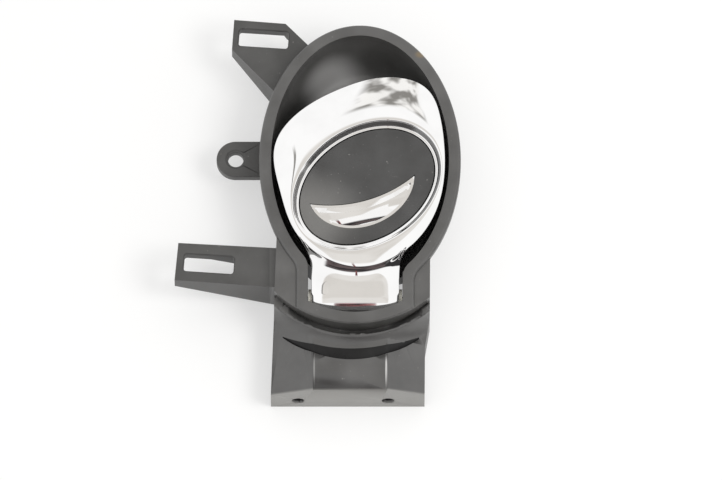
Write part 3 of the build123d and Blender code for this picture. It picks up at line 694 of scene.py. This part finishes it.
# %% Give the lever its wall and its curves
def finish_modifier(obj, kind, name, **settings):
    """Add one modifier and apply it."""
    bpy.ops.object.select_all(action="DESELECT")
    obj.select_set(True)
    bpy.context.view_layer.objects.active = obj
    modifier = obj.modifiers.new(name, kind)
    for key, value in settings.items():
        setattr(modifier, key, value)
    bpy.ops.object.modifier_apply(modifier=name)


middle = max(lever.data.polygons, key=lambda face: face.center.z)
if middle.normal.z < 0:
    bpy.ops.object.mode_set(mode="EDIT")
    bpy.ops.mesh.select_all(action="SELECT")
    bpy.ops.mesh.flip_normals()
    bpy.ops.object.mode_set(mode="OBJECT")
finish_modifier(lever, "SOLIDIFY", "wall", thickness=LEVER_WALL * MM, offset=-1.0)
finish_modifier(lever, "SUBSURF", "curves", levels=2, render_levels=2)
bpy.ops.object.shade_smooth()
lever.data.materials.append(chrome)
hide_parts("lever_chrome_shell")
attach(lever, "lever")
print("plated lever", len(lever.data.polygons), "faces")

# %% [markdown]
# ## Soft moulded edges
# No mould leaves a knife edge: each corner has a small radius that catches a line of light. A copy of each
# visible solid is merged, and the edges that really show are bevelled. Its triangles stay as they are: joined
# into one large face round a hole, they could be filled right across it. The housing is one moulding that the
# frame keeps in five pieces, so the edges where those pieces meet stay sharp.

# %% Soften the mouldings
SADDLE = (-2.0, -28.0, 46.2)
CHANNEL_FLOOR = 18.8
CHANNEL_DIP = 110.0
SHOULDER_TOP = 22.5
TAB_ROOT = -40.0
LOWER_ROOT = -38.0
LIMB_ROOT = (-30.0, 41.6)
LIMB_TURN = math.radians(54.0)
EDGE_RADIUS = 0.35
PLATE_RADIUS = 0.3
SCOOP_RADIUS = 0.2
CORNER_ANGLE = math.radians(40)
SMOOTH_ANGLE = math.radians(35)
SLIVER = 0.0001 * MM


def seams_at(point):
    """Names of the hidden meeting faces that a point of the housing lies on."""
    x, y, z = point / MM
    found = set()
    if abs(x - TAB_ROOT) < 0.01:
        found.add("tab")
    if abs(x - LOWER_ROOT) < 0.01:
        found.add("lower")
    across = (y - LIMB_ROOT[1]) * math.cos(LIMB_TURN) - (x - LIMB_ROOT[0]) * math.sin(LIMB_TURN)
    if abs(across) < 0.01:
        found.add("upper")
    floor_rise = 0.0
    if abs(x) < CHANNEL_DIP / 2:
        floor_rise = CHANNEL_DIP - math.sqrt(CHANNEL_DIP**2 - (x - SADDLE[0]) ** 2)
    joined = z < min(CHANNEL_FLOOR + floor_rise, SHOULDER_TOP) + 0.05
    if joined and abs(math.hypot(x - SADDLE[0], y - SADDLE[1]) - SADDLE[2]) < 0.02:
        found.add("block")
    return found


def softened(name, title, body, width, cut=None):
    """Copy of a solid with bevelled edges, and a hollow where one is cut, in place of the solid."""
    solid = nodes[name]
    bpy.ops.object.select_all(action="DESELECT")
    solid.select_set(True)
    bpy.context.view_layer.objects.active = solid
    bpy.ops.object.duplicate()
    copy = bpy.context.object
    copy.name = title
    copy.modifiers.clear()
    bpy.ops.object.mode_set(mode="EDIT")
    bpy.ops.mesh.select_all(action="SELECT")
    bpy.ops.mesh.remove_doubles(threshold=JOIN)
    if cut:
        bpy.ops.object.mode_set(mode="OBJECT")
        finish_modifier(
            copy, "BOOLEAN", "hollow", operation="DIFFERENCE", object=cut, material_mode="TRANSFER"
        )
        bpy.data.objects.remove(cut)
        bpy.ops.object.mode_set(mode="EDIT")
    mesh = bmesh.from_edit_mesh(copy.data)
    weight = mesh.edges.layers.float.new("bevel_weight_edge")
    for edge in mesh.edges:
        if len(edge.link_faces) != 2 or edge.calc_face_angle(0) < CORNER_ANGLE:
            continue
        if seams_at(edge.verts[0].co) & seams_at(edge.verts[1].co):
            continue
        edge[weight] = 1.0
    bmesh.update_edit_mesh(copy.data)
    bpy.ops.object.mode_set(mode="OBJECT")
    finish_modifier(copy, "BEVEL", "edge_radius", width=width * MM, segments=2, limit_method="WEIGHT")
    bpy.ops.object.mode_set(mode="EDIT")
    bpy.ops.mesh.select_all(action="SELECT")
    bpy.ops.mesh.remove_doubles(threshold=SLIVER)
    bpy.ops.object.mode_set(mode="OBJECT")
    bpy.ops.object.shade_smooth_by_angle(angle=SMOOTH_ANGLE)
    finish_modifier(copy, "WEIGHTED_NORMAL", "flat_faces", keep_sharp=True)
    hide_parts(name)
    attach(copy, body)
    print(title, len(copy.data.polygons), "faces")


softened("housing", "finger_bowl", "housing", EDGE_RADIUS)

# %% [markdown]
# ## The hollow behind the roof panel
# Between the saddle and the block's roof the moulding has a crescent hollow that deepens towards the
# roof's edge. Its faces take a near-black plastic, which is painted shade. The hollow could be bumped or
# painted, but its edge catches light, so it is cut: a grid is laid between two arcs, sunk into the roof,
# extruded upwards into a cutter, and taken away from the block before the edges are bevelled. The cut
# hands the cutter's plastic to the faces it leaves.

# %% Cut the hollow
HOLLOW_SPAN = (-32.5, 24.8)
HOLLOW_FOOT = (-3.6, -45.9, 41.6)
HOLLOW_HEAD = (-3.6, -21.4, 61.2)
HOLLOW_DEPTH = 1.4
HOLLOW_BEND = 1.5
CLEAR_ABOVE = 8.0
LOOK_FROM = 40.0


def arc_at(arc, x):
    """The arc's lower side at one place across the block."""
    return arc[1] - math.sqrt(arc[2] ** 2 - (x - arc[0]) ** 2)


bpy.ops.object.select_all(action="DESELECT")
bpy.ops.mesh.primitive_grid_add(x_subdivisions=56, y_subdivisions=5, size=1.0)
hollow = bpy.context.object
for vertex in hollow.data.vertices:
    x = HOLLOW_SPAN[0] + (HOLLOW_SPAN[1] - HOLLOW_SPAN[0]) * (vertex.co.x + 0.5)
    down = 0.5 - vertex.co.y
    y = arc_at(HOLLOW_HEAD, x) + (arc_at(HOLLOW_FOOT, x) - arc_at(HOLLOW_HEAD, x)) * down
    spot = nodes["cable_block"].ray_cast(Vector((x, y, LOOK_FROM)) * MM, Vector((0, 0, -1)))[1]
    vertex.co = (spot.x, spot.y, spot.z - HOLLOW_DEPTH * MM * down**HOLLOW_BEND)
bpy.ops.object.mode_set(mode="EDIT")
bpy.ops.mesh.select_all(action="SELECT")
bpy.ops.mesh.extrude_region_move(TRANSFORM_OT_translate={"value": (0.0, 0.0, CLEAR_ABOVE * MM)})
bpy.ops.mesh.select_all(action="SELECT")
bpy.ops.mesh.normals_make_consistent(inside=False)
bpy.ops.object.mode_set(mode="OBJECT")
# The cut passes this near-black plastic to the hollow's faces: painted shade.
hollow.data.materials.append(hollow_painted_shade)
print("hollow cutter", len(hollow.data.polygons), "faces")
softened("cable_block", "cable_housing", "housing", EDGE_RADIUS, cut=hollow)

# %% Soften the limbs and the knob
softened("upper_bracket", "upper_clip_bracket", "housing", EDGE_RADIUS)
softened("lower_bracket", "lower_clip_bracket", "housing", EDGE_RADIUS)
softened("fixing_tab", "screw_tab_plate", "housing", EDGE_RADIUS)
softened("lock_plate", "lock_knob_plate", "lock_knob", PLATE_RADIUS)
softened("lock_scoop", "crescent_scoop", "lock_knob", SCOOP_RADIUS)
